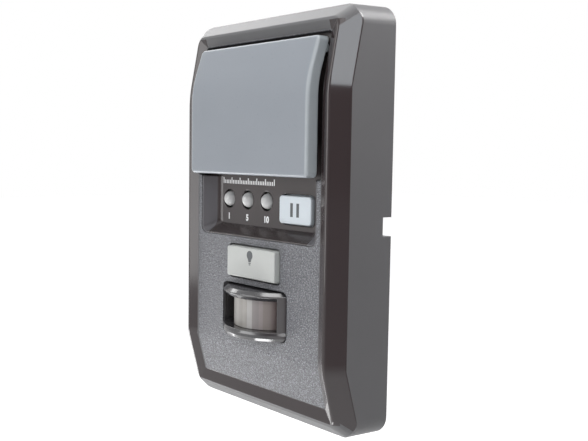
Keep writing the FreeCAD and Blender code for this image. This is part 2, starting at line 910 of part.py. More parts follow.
def lamp(x):
    """A round-nosed lamp standing on the board, with hollows for its two leads."""
    top = panel_depth + lamp_proud
    barrel_top = top - lamp_radius
    body = post(lamp_radius, board_front, barrel_top, x, lamp_z)
    nose = Part.makeSphere(lamp_radius, at(x, barrel_top, lamp_z))
    brim = post(lamp_flange, board_front, board_front + lamp_flange_height, x, lamp_z)
    wide = lamp_flange
    ahead = block(x - wide, x + wide, barrel_top, top + 1, lamp_z - wide, lamp_z + wide)
    return joined([body, nose.common(ahead), brim]).cut(lead_pair(x))


def lead_pair(x):
    """The two flat lead frames inside a lamp: a narrow post and a wider one with a cup."""
    z0 = lamp_z - lead_thickness / 2
    z1 = lamp_z + lead_thickness / 2
    inner = lead_gap / 2
    outer = inner + 2 * lead_post_half
    cup_front = board_front + lead_cup_height
    narrow = block(x - outer, x - inner, board_front, board_front + lead_post_height, z0, z1)
    wide = block(x + inner, x + outer, board_front, cup_front, z0, z1)
    cup = block(x + inner - lead_cup_half, x + outer, cup_front - lead_cup_depth, cup_front, z0, z1)
    return group([narrow, wide.fuse(cup).removeSplitter()])


def bar_lamps():
    shapes = []
    for side in (-1, 1):
        x = side * bar_lamp_x
        barrel = board_front + bar_lamp_height - bar_lamp_radius
        body = post(bar_lamp_radius, board_front, barrel, x, bar_lamp_z)
        nose = Part.makeSphere(bar_lamp_radius, at(x, barrel, bar_lamp_z))
        shapes.append(joined([body, nose]))
    return group(shapes)


def bar_line(offset):
    """Points and radii of the bar's front line moved back by an offset, with the knee kept parallel."""
    depth = bar_depth - offset
    points = [(depth, bar_knee_z - far), (depth, bar_knee_z)]
    points.append((depth - bar_lean * far, bar_knee_z + far))
    return points, [0, bar_knee_radius, 0]


def bar_solid(offset_front, offset_back, half_x, z0, z1, corner):
    """A curved slab of the bar between two offsets from its front."""
    front = swept(side_region(bar_line(offset_front), -far))
    back = swept(side_region(bar_line(offset_back), -far))
    outline = plate(half_x, z0, z1, 0, far_front, corner)
    return front.cut(back).common(outline)


def push_bar():
    """The translucent cap that is pressed: a shallow tray with knuckles and a switch post."""
    outer = bar_solid(0, bar_side_depth, bar_x, bar_bottom, bar_top, bar_corner)
    front_rim = edges_where(outer, lambda e, b: on_bar_front(e))
    outer = outer.makeFillet(bar_edge_radius, front_rim)
    inner_x = bar_x - bar_wall
    low = bar_bottom + bar_wall
    high = bar_top - bar_wall
    inner = bar_solid(bar_skin, bar_side_depth + 2, inner_x, low, high, bar_corner / 2)
    parts = [outer.cut(inner)]
    web_front = leaning_bar(bar_pivot_z) - bar_skin
    for side in (-1, 1):
        x0, x1 = hinge_spans(side)[0]
        low = bar_pivot_z - lug_web_half
        web = block(x0, x1, bar_pivot_depth, web_front, low, low + 2 * lug_web_half)
        parts += [hinge_round(lug_radius, x0, x1), web]
    low = actuator_z - actuator_half
    high = actuator_z + actuator_half
    parts.append(block(-actuator_half, actuator_half, actuator_tip, bar_depth - bar_skin, low, high))
    body = joined(parts)
    inner_wall = bar_x - bar_wall
    for side in (-1, 1):
        x0, x1 = sorted((side * (inner_wall - lug_thickness - 1), side * inner_wall))
        body = body.cut(hinge_round(pin_radius + pin_gap, x0, x1))
    return body


def on_bar_front(edge):
    middle = edge.valueAt((edge.FirstParameter + edge.LastParameter) / 2)
    line = side_region(bar_line(0), -far)
    flat = FreeCAD.Vector(0, middle.y, middle.z)
    return line.OuterWire.distToShape(Part.Vertex(flat))[0] < 1e-3


def bar_diffuser():
    """Milky sheet just behind the cap's skin, with holes for the actuator post and the springs."""
    front = bar_skin + diffuser_gap
    low = bar_bottom + bar_wall + bar_fit
    sheet = bar_solid(front, front + diffuser_thickness, carrier_x, low, carrier_top, carrier_corner)
    room = actuator_half + bar_fit
    sheet = sheet.cut(block(-room, room, 0, far_front, actuator_z - room, actuator_z + room))
    for side in (-1, 1):
        sheet = sheet.cut(post(spring_hole, 0, far_front, side * spring_x, spring_z))
    return sheet


def bar_carrier():
    """Black lid behind the cap: it lifts on the hinge, and the cap is pressed towards it."""
    low = bar_bottom + bar_wall + bar_fit
    back = carrier_offset + carrier_thickness
    frame = bar_solid(carrier_offset, back, carrier_x, low, carrier_top, carrier_corner)
    half = (carrier_window_x - carrier_bar_half) / 2
    bottom = carrier_window_bottom
    for side in (-1, 1):
        middle = side * (carrier_bar_half + half)
        corner = carrier_window_corner
        frame = frame.cut(plate(half, bottom, carrier_window_top, 0, far_front, corner, middle))
    room = actuator_half + actuator_room
    frame = frame.cut(block(-room, room, 0, far_front, actuator_z - room, actuator_z + room))
    parts = [frame]
    slab_front = leaning_bar(carrier_top) - carrier_offset
    slab_back = slab_front - carrier_thickness
    arm_points = [(slab_back, carrier_top - 1), (slab_front, carrier_top - 1)]
    arm_half = lug_radius * carrier_arm_share
    arm_points += [(bar_pivot_depth + arm_half, bar_pivot_z), (bar_pivot_depth - arm_half, bar_pivot_z)]
    pin_top = carrier_front + spring_pin_height
    for side in (-1, 1):
        x0, x1 = hinge_spans(side)[2]
        arm = Part.Face(rounded_wire(arm_points, [0] * 4, on_side))
        arm = arm.extrude(FreeCAD.Vector(x1 - x0, 0, 0))
        arm.translate(FreeCAD.Vector(x0, 0, 0))
        parts += [arm, hinge_round(lug_radius, x0, x1)]
        parts.append(post(spring_pin_radius, carrier_back, pin_top, side * spring_x, spring_z))
    body = joined(parts)
    for side in (-1, 1):
        x0, x1 = hinge_spans(side)[2]
        body = body.cut(hinge_round(pin_radius + pin_press, x0 - 1, x1 + 1))
    return body


def leaning_bar(z):
    return bar_depth - bar_lean * max(z - bar_knee_z, 0)


def hinge_pins():
    pins = []
    for side in (-1, 1):
        cap, ear, carrier = hinge_spans(side)
        ends = [side * (bar_x - bar_wall - pin_gap), carrier[0] if side > 0 else carrier[1]]
        pins.append(hinge_round(pin_radius, min(ends), max(ends)))
    return group(pins)


def bar_springs():
    """Two short coil springs that push the cap away from the carrier, each one wound wire."""
    springs = []
    low = carrier_front + spring_wire
    high = bar_depth - bar_skin - spring_wire
    halves = spring_turns * 2
    pitch = (high - low) / halves
    for side in (-1, 1):
        edges = []
        for i in range(halves):
            points = []
            for step in (i, i + 0.5, i + 1):
                angle = math.pi * step
                x = side * spring_x + spring_radius * math.cos(angle)
                z = spring_z + spring_radius * math.sin(angle)
                points.append(at(x, low + pitch * step, z))
            edges.append(Part.Arc(points[0], points[1], points[2]).toShape())
        path = Part.Wire(edges)
        start = path.Edges[0]
        direction = start.tangentAt(start.FirstParameter)
        section = Part.Wire(Part.makeCircle(spring_wire, start.valueAt(start.FirstParameter), direction))
        springs.append(path.makePipeShell([section], True, False))
    return group(springs)


def window_limits():
    """Lower and upper edge of the sensor's window."""
    top = sensor_z + sensor_half_z - bezel_gap - bezel_top_gap - brow_height
    bottom = sensor_z - sensor_half_z + bezel_gap + lip_height
    return bottom, top


def turned(section):
    """A ring round the bezel's upright axis from (radius, z) points."""
    points = [at(0, bezel_axis_depth + r, z) for r, z in section]
    face = Part.Face(Part.makePolygon(points + [points[0]]))
    return face.revolve(at(0, bezel_axis_depth, 0), FreeCAD.Vector(0, 0, 1), 360)


def sensor_bezel():
    """Glossy bulging surround of the sensor: brow above the window and lip below it."""
    lip_top, brow_low = window_limits()
    top = brow_low + brow_height
    bottom = lip_top - lip_height
    section = [(0, top), (bezel_radius - brow_round, top), (bezel_radius, top - brow_round)]
    section += [(bezel_radius, lip_top), (bezel_lip_bulge, lip_top - lip_step)]
    section += [(bezel_lip_bulge, bottom + 2 * edge_break)]
    section += [(bezel_lip_bulge - edge_break, bottom), (0, bottom)]
    foot_x = sensor_x - bezel_gap
    lean_depth = bezel_side_front - (foot_x - bezel_front_x) / bezel_side_lean
    tip_depth = bezel_axis_depth + bezel_lip_bulge + 1
    tip_x = bezel_front_x - (tip_depth - bezel_side_front) * bezel_side_lean
    outline = [(foot_x, bezel_back), (foot_x, lean_depth), (tip_x, tip_depth), (-tip_x, tip_depth)]
    outline += [(-foot_x, lean_depth), (-foot_x, bezel_back)]
    points = [at(x, depth, bottom) for x, depth in outline]
    limit = Part.Face(Part.makePolygon(points + [points[0]])).extrude(FreeCAD.Vector(0, 0, top - bottom))
    body = turned(section).common(limit)
    corners = plate(foot_x, bottom, top, bezel_back, far_front, sensor_corner - bezel_gap)
    body = body.common(corners)
    flange_front = face_back - seam
    low = sensor_z - bezel_flange_z
    high = sensor_z + bezel_flange_z
    corner = sensor_flange_corner
    flange = plate(bezel_flange_x, low, high, bezel_back, flange_front, corner)
    body = joined([body, flange])
    window = block(-window_x, window_x, 0, far_front, lip_top, brow_low)
    slope = [(bezel_radius - brow_chamfer, brow_low), (bezel_radius + 2, brow_low)]
    slope += [(bezel_radius + 2, brow_low + brow_chamfer + 2)]
    chamfer = turned(slope).common(block(-window_x, window_x, 0, far_front, lip_top, top))
    return body.cut(window).cut(chamfer)


def sensor_lens():
    """Milky lens: part of a thin upright cylinder on a flat flange that the bezel clamps."""
    bottom, top = window_limits()
    low = bottom + lens_gap
    high = top - lens_gap
    axis = at(0, lens_axis_depth, low)
    tube = Part.makeCylinder(lens_radius, high - low, axis)
    bore = Part.makeCylinder(lens_radius - lens_wall, high - low, axis)
    edge_depth = bezel_back - lens_gap
    foot = edge_depth - lens_flange
    bow = tube.cut(bore).common(block(-lens_flange_x, lens_flange_x, foot, far_front, low, high))
    middle = (low + high) / 2
    flange_low = middle - lens_flange_z
    flange_high = middle + lens_flange_z
    flange = plate(lens_flange_x, flange_low, flange_high, foot, edge_depth, sensor_flange_corner)
    inner = math.sqrt((lens_radius - lens_wall) ** 2 - (edge_depth - lens_axis_depth) ** 2)
    opening = block(-inner, inner, 0, far_front, low, high)
    hollow = bore.common(opening)
    flange = flange.cut(block(-inner, inner, 0, edge_depth, low, high))
    return joined([bow.cut(hollow), flange])


def sensor_shroud():
    """Black light shield between the lens flange and the circuit board."""
    bottom, top = window_limits()
    middle = (top + bottom) / 2
    front = bezel_back - lens_gap - lens_flange - lens_gap
    back = front - shroud_depth
    low = middle - lens_flange_z
    high = middle + lens_flange_z
    body = plate(lens_flange_x, low, high, back, front, sensor_flange_corner)
    near = (can_brim + shroud_hole_gap, shroud_hole_z, back - 1)
    away = (shroud_hole_x, shroud_hole_z + shroud_hole_gap, front + 1)
    body = body.cut(tapered(*near, *away, shroud_hole_corner, 0, middle))
    feet = []
    for side in (-1, 1):
        for lift in (-1, 1):
            x = side * (lens_flange_x - shroud_foot_inset)
            z = middle + lift * (lens_flange_z - shroud_foot_inset)
            feet.append(post(shroud_foot_radius, board_front, back, x, z))
    return joined([body] + feet)


def motion_sensor():
    """Metal can on the board, with a window in its end."""
    can = post(can_radius, board_front, board_front + can_height, 0, sensor_z)
    brim = post(can_brim, board_front, board_front + can_brim_height, 0, sensor_z)
    body = joined([can, brim])
    top = board_front + can_height
    pit = block(-filter_x, filter_x, top - filter_recess, top + 1, sensor_z - filter_z, sensor_z + filter_z)
    return body.cut(pit)


def sensor_filter():
    back = board_front + can_height - filter_recess
    half_x = filter_x - filter_gap
    half_z = filter_z - filter_gap
    return block(-half_x, half_x, back, back + filter_thickness, sensor_z - half_z, sensor_z + half_z)


def terminal_block():
    z0, z1 = block_z
    body = block(-block_x, block_x, block_back, board_back, z0, z1)
    ribs = []
    half = block_rib / 2
    rib_back = block_back - block_rib_height
    for x in (half - block_x, 0.0, block_x - half):
        ribs.append(block(x - half, x + half, rib_back, block_back, z0, z1))
    body = joined([body] + ribs)
    hole_end = block_back - terminal_plate_thickness + terminal_screw_length
    hole = terminal_screw_radius + thread_gap
    for side in (-1, 1):
        body = body.cut(post(hole, 0, hole_end, side * terminal_x, terminal_z))
    return body


def terminal_plates():
    shapes = []
    half = terminal_plate_half
    back = block_back - terminal_plate_thickness
    corner = terminal_plate_corner
    for side in (-1, 1):
        x = side * terminal_x
        tab = plate(half, terminal_z - half, terminal_z + half, back, block_back, corner, x)
        shapes.append(tab.cut(post(terminal_screw_radius + thread_gap, 0, far_front, x, terminal_z)))
    return group(shapes)


def terminal_screws():
    shapes = []
    under = block_back - terminal_plate_thickness
    top = under - terminal_screw_head_height
    tip = under + terminal_screw_length - thread_end_gap
    slot = terminal_screw_head * terminal_cross_share
    for side in (-1, 1):
        x = side * terminal_x
        head = post(terminal_screw_head, top, under, x, terminal_z)
        shank = post(terminal_screw_radius, under, tip, x, terminal_z)
        screw = head.fuse(shank).removeSplitter()
        slots = cross_recess(top, x, terminal_z, slot, -1)
        shapes.append(screw.cut(slots))
    return group(shapes)


def controller_chip():
    x, z = chip_at
    top = board_front + chip_height
    return plate(chip_half, z - chip_half, z + chip_half, board_front, top, chip_corner, x)


def capacitors():
    shapes = []
    top = board_front + capacitor_height
    for i in range(2):
        x = capacitor_side_inset - board_x + i * capacitor_pitch
        shapes.append(post(capacitor_radius, board_front, top, x, capacitor_z))
    return group(shapes)


def crystal():
    x, z = crystal_at
    half_x, half_z = crystal_half
    top = board_front + crystal_height
    return plate(half_x, z - half_z, z + half_z, board_front, top, half_z * crystal_round, x)


def resistors():
    shapes = []
    half_x, half_z = resistor_half
    top = board_front + resistor_height
    for x, z in resistor_rows:
        for i in range(resistors_in_row):
            left = x + i * resistor_pitch - half_x
            shapes.append(block(left, left + 2 * half_x, board_front, top, z - half_z, z + half_z))
    return group(shapes)


def all_nodes():
    nodes = {
        "back_plate": back_plate(),
        "front_cover": front_cover(),
        "control_panel": control_panel(),
        "case_screws": case_screws(),
        "board_screws": board_screws(),
        "panel_screws": panel_screws(),
        "circuit_board": circuit_board(),
        "switch_bodies": switch_bodies(),
        "push_bar": push_bar(),
        "bar_diffuser": bar_diffuser(),
        "bar_carrier": bar_carrier(),
        "hinge_pins": hinge_pins(),
        "bar_springs": bar_springs(),
        "bar_lamps": bar_lamps(),
        "sensor_bezel": sensor_bezel(),
        "sensor_lens": sensor_lens(),
        "sensor_shroud": sensor_shroud(),
        "motion_sensor": motion_sensor(),
        "sensor_filter": sensor_filter(),
        "terminal_block": terminal_block(),
        "terminal_plates": terminal_plates(),
        "terminal_screws": terminal_screws(),
        "controller_chip": controller_chip(),
        "capacitors": capacitors(),
        "crystal": crystal(),
        "resistors": resistors(),
    }
    for name in buttons():
        nodes[name] = push_button(name)
    for name, (x, z) in switch_points().items():
        nodes[name] = switch_plunger(x, z)
    for label, x in zip(("1", "5", "10"), lamp_points()):
        nodes["timer_lamp_" + label] = lamp(x)
    nodes["lamp_leads"] = group([s for x in lamp_points() for s in lead_pair(x).Solids])
    return nodes


os.makedirs("parts", exist_ok=True)
for node, shape in all_nodes().items():
    shape.exportStep("parts/" + node + ".step")
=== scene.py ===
import math

import bmesh
import bpy
from mathutils import Matrix, Vector


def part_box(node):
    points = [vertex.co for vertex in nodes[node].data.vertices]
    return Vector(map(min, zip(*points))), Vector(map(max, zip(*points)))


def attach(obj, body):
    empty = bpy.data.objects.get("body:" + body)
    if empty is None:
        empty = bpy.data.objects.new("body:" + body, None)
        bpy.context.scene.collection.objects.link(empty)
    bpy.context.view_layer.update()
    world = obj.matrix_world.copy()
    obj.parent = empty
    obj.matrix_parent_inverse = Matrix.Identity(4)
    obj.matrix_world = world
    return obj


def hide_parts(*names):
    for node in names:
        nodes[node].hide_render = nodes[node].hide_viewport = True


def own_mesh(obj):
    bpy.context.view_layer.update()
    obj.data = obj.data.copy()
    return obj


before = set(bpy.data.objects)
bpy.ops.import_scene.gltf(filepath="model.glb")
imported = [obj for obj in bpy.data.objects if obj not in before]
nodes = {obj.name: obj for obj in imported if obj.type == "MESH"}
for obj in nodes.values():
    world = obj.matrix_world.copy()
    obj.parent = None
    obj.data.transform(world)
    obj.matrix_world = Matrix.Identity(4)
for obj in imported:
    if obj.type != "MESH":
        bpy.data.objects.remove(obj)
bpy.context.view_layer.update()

# The front cover. One dark grey moulding: satin walls and end bevels, polished long bevels and rim,
# and a face with a spark-eroded grain, whose pale speckles are painted glints and whose dark speckles
# are painted shade in its pits. Four screws through the back plate hold it. A paint's sizes, such as
# those here that say where each finish lies, are in millimetres.
knee_high, knee_low = 38.9, -41.5
lean_high, lean_low = 0.193, 0.27
crest_depth, crest_edge, bevel_slope, bevel_reach = 21.9, 34.1, 1.29, 0.22
face_depth, face_half, face_low, face_high = 20.35, 30.05, -54.2, 55.2
face_reach, face_fade, end_bevel = 0.12, 0.3, 58.0
corner_edge, corner_high, corner_rise = 35.1, 57.05, 1.22
satin_grey, satin_shade = (0.090, 0.089, 0.092, 1), (0.081, 0.0801, 0.0828, 1)
polished_grey = (0.032, 0.024, 0.025, 1)
grain_grey = (0.092, 0.094, 0.103, 1)
# The pale speckles of the grain are painted glints, and its dark speckles are painted shade in the pits.
glint_grey, pit_shade_grey = (0.33, 0.335, 0.365, 1), (0.030, 0.030, 0.036, 1)
glint_share, pit_shade_share = 0.6, 0.75
satin_rough, polished_rough = 0.46, 0.09
fine_relief, grain_relief = 0.006, 0.42


class Value:
    """A socket of one paint, on which ordinary arithmetic adds Math nodes."""

    def __init__(self, paint, socket):
        self.paint = paint
        self.socket = socket

    def _math(self, operation, *others):
        sockets = dict(enumerate((self,) + others))
        return self.paint.node("ShaderNodeMath", {"operation": operation}, sockets)

    def __add__(self, other):
        return self._math("ADD", other)

    def __sub__(self, other):
        return self._math("SUBTRACT", other)

    def __rsub__(self, other):
        return self.paint.node("ShaderNodeMath", {"operation": "SUBTRACT"}, {0: other, 1: self})

    def __mul__(self, other):
        return self._math("MULTIPLY", other)

    def __abs__(self):
        return self._math("ABSOLUTE")

    __radd__ = __add__
    __rmul__ = __mul__

    def most(self, other):
        return self._math("MAXIMUM", other)

    def sine(self):
        """A wave along the value, in radians."""
        return self._math("SINE")

    def between(self, low, high):
        """0 below low, 1 above high, and smooth in between."""
        settings = {"interpolation_type": "SMOOTHSTEP"}
        sockets = {"Value": self, "From Min": low, "From Max": high}
        return self.paint.node("ShaderNodeMapRange", settings, sockets)


class Paint:
    """One finish: a material whose nodes are made by a single method."""

    def __init__(self, name, **constants):
        self.material = bpy.data.materials.new(name)
        self.material.use_nodes = True
        self.tree = self.material.node_tree
        self.shader = self.tree.nodes["Principled BSDF"]
        self.set(**constants)

    def set(self, **sockets):
        for name, value in sockets.items():
            self.fill(self.shader.inputs[name.replace("_", " ")], value)

    def fill(self, socket, value):
        if isinstance(value, Value):
            self.tree.links.new(value.socket, socket)
        else:
            socket.default_value = value

    def node(self, kind, settings=None, sockets=None, output=0):
        """A new node of a kind: its settings first, then the values or links of its sockets."""
        made = self.tree.nodes.new(kind)
        for name, value in (settings or {}).items():
            setattr(made, name, value)
        for name, value in (sockets or {}).items():
            self.fill(made.inputs[name], value)
        return Value(self, made.outputs[output])

    def place(self):
        """The point on the piece in millimetres, as a vector."""
        point = self.node("ShaderNodeTexCoord", output="Object")
        return self.node("ShaderNodeVectorMath", {"operation": "SCALE"}, {0: point, "Scale": 1000.0})

    def axes(self):
        """The same point as three values: across, in depth and up."""
        apart = self.node("ShaderNodeSeparateXYZ", None, {"Vector": self.place()})
        return [Value(self, apart.socket.node.outputs[i]) for i in range(3)]

    def noise(self, scale, detail=2.0, rough=0.5):
        """Noise with features about 1 / scale millimetres across, from 0 to 1."""
        sockets = {"Vector": self.place(), "Scale": scale, "Detail": detail, "Roughness": rough}
        return self.node("ShaderNodeTexNoise", None, sockets)

    def mix(self, factor, first, second):
        """Two colours mixed. The node has them at its inputs 6 and 7, and the result at output 2."""
        sockets = {"Factor": factor, 6: first, 7: second}
        return self.node("ShaderNodeMix", {"data_type": "RGBA"}, sockets, 2)

    def bump(self, height, over=None):
        """A relief whose height is in millimetres, over another normal where one is given."""
        sockets = {"Height": height, "Distance": 0.001}
        if over:
            sockets["Normal"] = over
        return self.node("ShaderNodeBump", None, sockets)

    def soft_edge(self, radius):
        """Edges that catch the light as if rounded to a radius in millimetres."""
        return self.node("ShaderNodeBevel", {"samples": 6}, {"Radius": radius / 1000})

    def onto(self, *pieces):
        for piece in pieces:
            piece.data.materials.clear()
            piece.data.materials.append(self.material)


cover_paint = Paint("cover_moulding", IOR=1.5)
x, y, z = cover_paint.axes()
lean = (z - knee_high).most(0) * lean_high + (knee_low - z).most(0) * lean_low
level = lean - y
bevel_gap = level - (crest_depth - bevel_slope * (abs(x) - crest_edge))
on_side_bevel = 1 - abs(bevel_gap).between(bevel_reach, bevel_reach + 0.2)
past_corner = abs(z) - corner_high - corner_rise * (abs(x) - corner_edge)
off_end_bevel = 1 - abs(z).between(end_bevel, end_bevel + 0.3)
side_rim = level.between(face_depth + face_reach, face_depth + 0.2)
side_rim = side_rim * abs(x).between(face_half - 0.25, face_half - 0.1) * off_end_bevel
low_rim = 1 - z.between(face_low - 0.1, face_low + 0.1)
low_rim = low_rim * level.between(face_depth - 0.15, face_depth + 0.15) * off_end_bevel
polished = (on_side_bevel * (1 - past_corner.between(-0.1, 0.1))).most(side_rim.most(low_rim))
on_face = 1 - abs(level - face_depth).between(face_reach, face_fade)
on_face = on_face * (1 - abs(x).between(face_half - 0.1, face_half)) * (1 - polished)
on_face = on_face * (1 - z.between(face_high + 0.3, face_high + 0.5))
on_face = on_face * z.between(face_low - 0.6, face_low - 0.4)

fine = cover_paint.noise(9.0, 3.0)
grain = cover_paint.noise(1.9, 2.0, 0.6)
# Painted glints and painted pit shade on the grain, as pale and dark speckles in its colour.
grain_glint = cover_paint.noise(2.7, 0.0).between(0.50, 0.66)
pit_shade = 1 - cover_paint.noise(2.4, 1.0).between(0.36, 0.50)
blotch = cover_paint.noise(0.06, 2.0)
satin = cover_paint.mix(blotch, satin_grey, satin_shade)
grained = cover_paint.mix(grain_glint * glint_share, grain_grey, glint_grey)
grained = cover_paint.mix(pit_shade * pit_shade_share, grained, pit_shade_grey)
colour = cover_paint.mix(on_face, satin, grained)
rough = satin_rough + fine * 0.06 - on_face * 0.10 + on_face * grain * 0.1
relief = fine * fine_relief * (1 - on_face) + grain * grain_relief * on_face
worn_edge = cover_paint.soft_edge(0.4)
cover_paint.set(
    Base_Color=cover_paint.mix(polished, colour, polished_grey),
    Roughness=rough * (1 - polished) + polished * polished_rough,
    Normal=cover_paint.bump(relief * (1 - polished), worn_edge),
)
cover_paint.onto(nodes["front_cover"])

# The back plate. A plain black moulding, flat against the wall, with the wall-screw tube, the keyhole
# and the wire window. Its screws go up into the cover, and it carries the circuit board on posts.
plate_black, plate_worn = (0.040, 0.040, 0.042, 1), (0.055, 0.055, 0.058, 1)
back_paint = Paint("back_moulding", IOR=1.48)
flow = back_paint.noise(0.08, 3.0)
texture = back_paint.noise(6.0, 3.0)
back_paint.set(
    Base_Color=back_paint.mix(flow, plate_black, plate_worn),
    Roughness=0.5 + texture * 0.12,
    Normal=back_paint.bump(texture * 0.012),
)
back_paint.onto(nodes["back_plate"])

# The screws. Zinc-plated steel with cross recesses: four in the case, those of the board and of the
# panel, and the two that clamp the wires.
zinc_grey, zinc_warm = (0.50, 0.50, 0.50, 1), (0.62, 0.61, 0.58, 1)
screw_paint = Paint("zinc_plated_screws", Metallic=1.0)
stain = screw_paint.noise(1.3, 3.0)
turning = screw_paint.noise(8.0, 2.0)
screw_paint.set(
    Base_Color=screw_paint.mix(stain, zinc_grey, zinc_warm),
    Roughness=0.24 + turning * 0.16,
    Normal=screw_paint.bump(turning * 0.01),
)
screw_paint.onto(*[nodes[held + "_screws"] for held in ("case", "board", "panel", "terminal")])

# The control panel. A separate glossy brown-black moulding let into the cover from behind and held by
# small screws. It makes the pocket below the bar, whose sides carry a painted sheen in a paler grey, and
# the well behind the bar.
panel_brown, panel_cloud = (0.036, 0.029, 0.029, 1), (0.047, 0.038, 0.038, 1)
# A paler grey painted on the pocket's side walls as a painted sheen.
pocket_sheen_grey = (0.083, 0.080, 0.088, 1)
side_start, side_depth, pocket_top = 24.2, 15.9, 12.0
panel_paint = Paint("panel_moulding", IOR=1.5)
cloud = panel_paint.noise(0.09, 2.0)
orange_peel = panel_paint.noise(1.6, 2.0)
dust = panel_paint.noise(4.0, 3.0)
across, deep, up = panel_paint.axes()
# The pocket's side walls, which get the painted sheen and a rougher finish.
pocket_side = abs(across).between(side_start, side_start + 0.5)
pocket_side = pocket_side * (0 - deep).between(side_depth, side_depth + 0.4)
pocket_side = pocket_side * (1 - up.between(pocket_top, pocket_top + 1.0))
brown = panel_paint.mix(cloud, panel_brown, panel_cloud)
panel_paint.set(
    Base_Color=panel_paint.mix(pocket_side, brown, pocket_sheen_grey),
    Roughness=0.16 + dust * 0.1 + pocket_side * 0.1,
    Normal=panel_paint.bump(orange_peel * 0.008, panel_paint.soft_edge(0.6)),
)
panel_paint.onto(nodes["control_panel"])

# The printing on the panel: plain numbers under the lamps and a ruled scale above them, pad printed in
# white. Each is a film a few hundredths of a millimetre thick that lies on the panel's face.
panel_face, ink_thickness = -0.0158, 0.00003
lamp_row = {"1": -0.01915, "5": -0.00945, "10": 0.00025}
number_height, number_z = 0.0020, -0.0015
letter_size, stroke_gain, narrowing = 1.38, 0.06, 0.95
scale_z, scale_left, scale_right, scale_steps, long_tick_every = 0.0102, -0.0222, 0.0040, 30, 5
tick_width, tick_low, tick_high = 0.00046, 0.0012, 0.0020
ink_white, ink_bright = (0.82, 0.82, 0.82, 1), (0.90, 0.90, 0.91, 1)
white_ink = Paint("white_ink", IOR=1.45)
speck = white_ink.noise(7.0, 3.0)
white_ink.set(Base_Color=white_ink.mix(speck, ink_white, ink_bright), Roughness=0.42 + speck * 0.1)


def stand(name, data):
    """A new object in the scene, made of a mesh, a curve, a lamp or a camera."""
    piece = bpy.data.objects.new(name, data)
    bpy.context.scene.collection.objects.link(piece)
    return piece


def flat_shapes(name, outlines, surface, thickness):
    """A thin raised print made of closed outlines in x and z, its back lying on the surface."""
    mesh = bmesh.new()
    for outline in outlines:
        corners = [mesh.verts.new((px, surface, pz)) for px, pz in outline]
        face = mesh.faces.new(corners)
        face.normal_update()
        if face.normal.y > 0:
            face.normal_flip()
        grown = bmesh.ops.extrude_face_region(mesh, geom=[face])
        raised = [v for v in grown["geom"] if isinstance(v, bmesh.types.BMVert)]
        bmesh.ops.translate(mesh, verts=raised, vec=(0, -thickness, 0))
    bmesh.ops.recalc_face_normals(mesh, faces=mesh.faces)
    data = bpy.data.meshes.new(name)
    mesh.to_mesh(data)
    mesh.free()
    return stand(name, data)


def strip(x0, x1, z0, z1):
    """The outline of a plain strip."""
    return [(x0, z0), (x1, z0), (x1, z1), (x0, z1)]


def number(label, centre_x, base_z, height, surface):
    """A plain sans number as a thin print."""
    curve = bpy.data.curves.new("number_" + label, "FONT")
    curve.body = label
    curve.size = height * letter_size
    curve.align_x = "CENTER"
    curve.offset = height * stroke_gain
    curve.extrude = ink_thickness / 2
    curve.resolution_u = 6
    holder = stand("number_" + label, curve)
    bpy.context.view_layer.update()
    mesh = bpy.data.meshes.new_from_object(holder.evaluated_get(bpy.context.evaluated_depsgraph_get()))
    bpy.data.objects.remove(holder)
    for vertex in mesh.vertices:
        along, above, out = vertex.co
        vertex.co = (centre_x + along * narrowing, surface - ink_thickness / 2 - out, base_z + above)
    return stand("number_" + label, mesh)


for label, lamp_x in lamp_row.items():
    printed = number(label, lamp_x, number_z, number_height, panel_face)
    white_ink.onto(printed)
    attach(printed, "case")

rule = []
for step in range(scale_steps + 1):
    middle = scale_left + (scale_right - scale_left) * step / scale_steps
    height = tick_low if step % long_tick_every else tick_high
    rule.append(strip(middle - tick_width / 2, middle + tick_width / 2, scale_z, scale_z + height))
timer_scale = flat_shapes("timer_scale", rule, panel_face, ink_thickness)
white_ink.onto(timer_scale)
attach(timer_scale, "case")

# The push bar. A thin translucent blue-grey cap, moulded in one piece, that works the door switch when
# its lower end is pressed. Its sides and lower edge are painted paler: a painted glow and highlight along
# them.
bar_blue, bar_drift = (0.215, 0.235, 0.262, 1), (0.235, 0.253, 0.280, 1)
# Paler colours for the painted glow and highlight along the bar's lower edge and sides.
low_glow_colour, side_glow_colour = (0.36, 0.39, 0.43, 1), (0.43, 0.46, 0.475, 1)
side_start, side_full, low_full, low_end = 27.4, 28.7, 13.6, 15.0
bar_paint = Paint(
    "bar_moulding", IOR=1.49,
    Subsurface_Weight=0.35, Subsurface_Scale=0.0012, Subsurface_Radius=(1, 1, 1),
)
drift = bar_paint.noise(0.05, 2.0)
skin = bar_paint.noise(2.2, 2.0)
across, _, up = bar_paint.axes()
# Painted glow and highlight: the base colour turns paler towards the bar's sides and lower edge.
side_painted_glow = abs(across).between(side_start, side_full)
low_painted_glow = 1 - up.between(low_full, low_end)
tint = bar_paint.mix(drift, bar_blue, bar_drift)
tint = bar_paint.mix(low_painted_glow * 0.5, tint, low_glow_colour)
bar_paint.set(
    Base_Color=bar_paint.mix(side_painted_glow * 0.75, tint, side_glow_colour),
    Roughness=0.26 + skin * 0.05,
    Normal=bar_paint.bump(skin * 0.004, bar_paint.soft_edge(0.3)),
)
bar_paint.onto(nodes["push_bar"])

# The milky sheet behind the skin of the bar. It is cut from a thin diffusing plastic and spreads the
# light of the two small lamps behind it.
sheet_milk, sheet_pale = (0.62, 0.64, 0.68, 1), (0.70, 0.72, 0.75, 1)
sheet_paint = Paint("milky_sheet", IOR=1.45, Roughness=0.6)
fibre = sheet_paint.noise(3.0, 3.0)
sheet_paint.set(Base_Color=sheet_paint.mix(fibre, sheet_milk, sheet_pale))
sheet_paint.onto(nodes["bar_diffuser"])

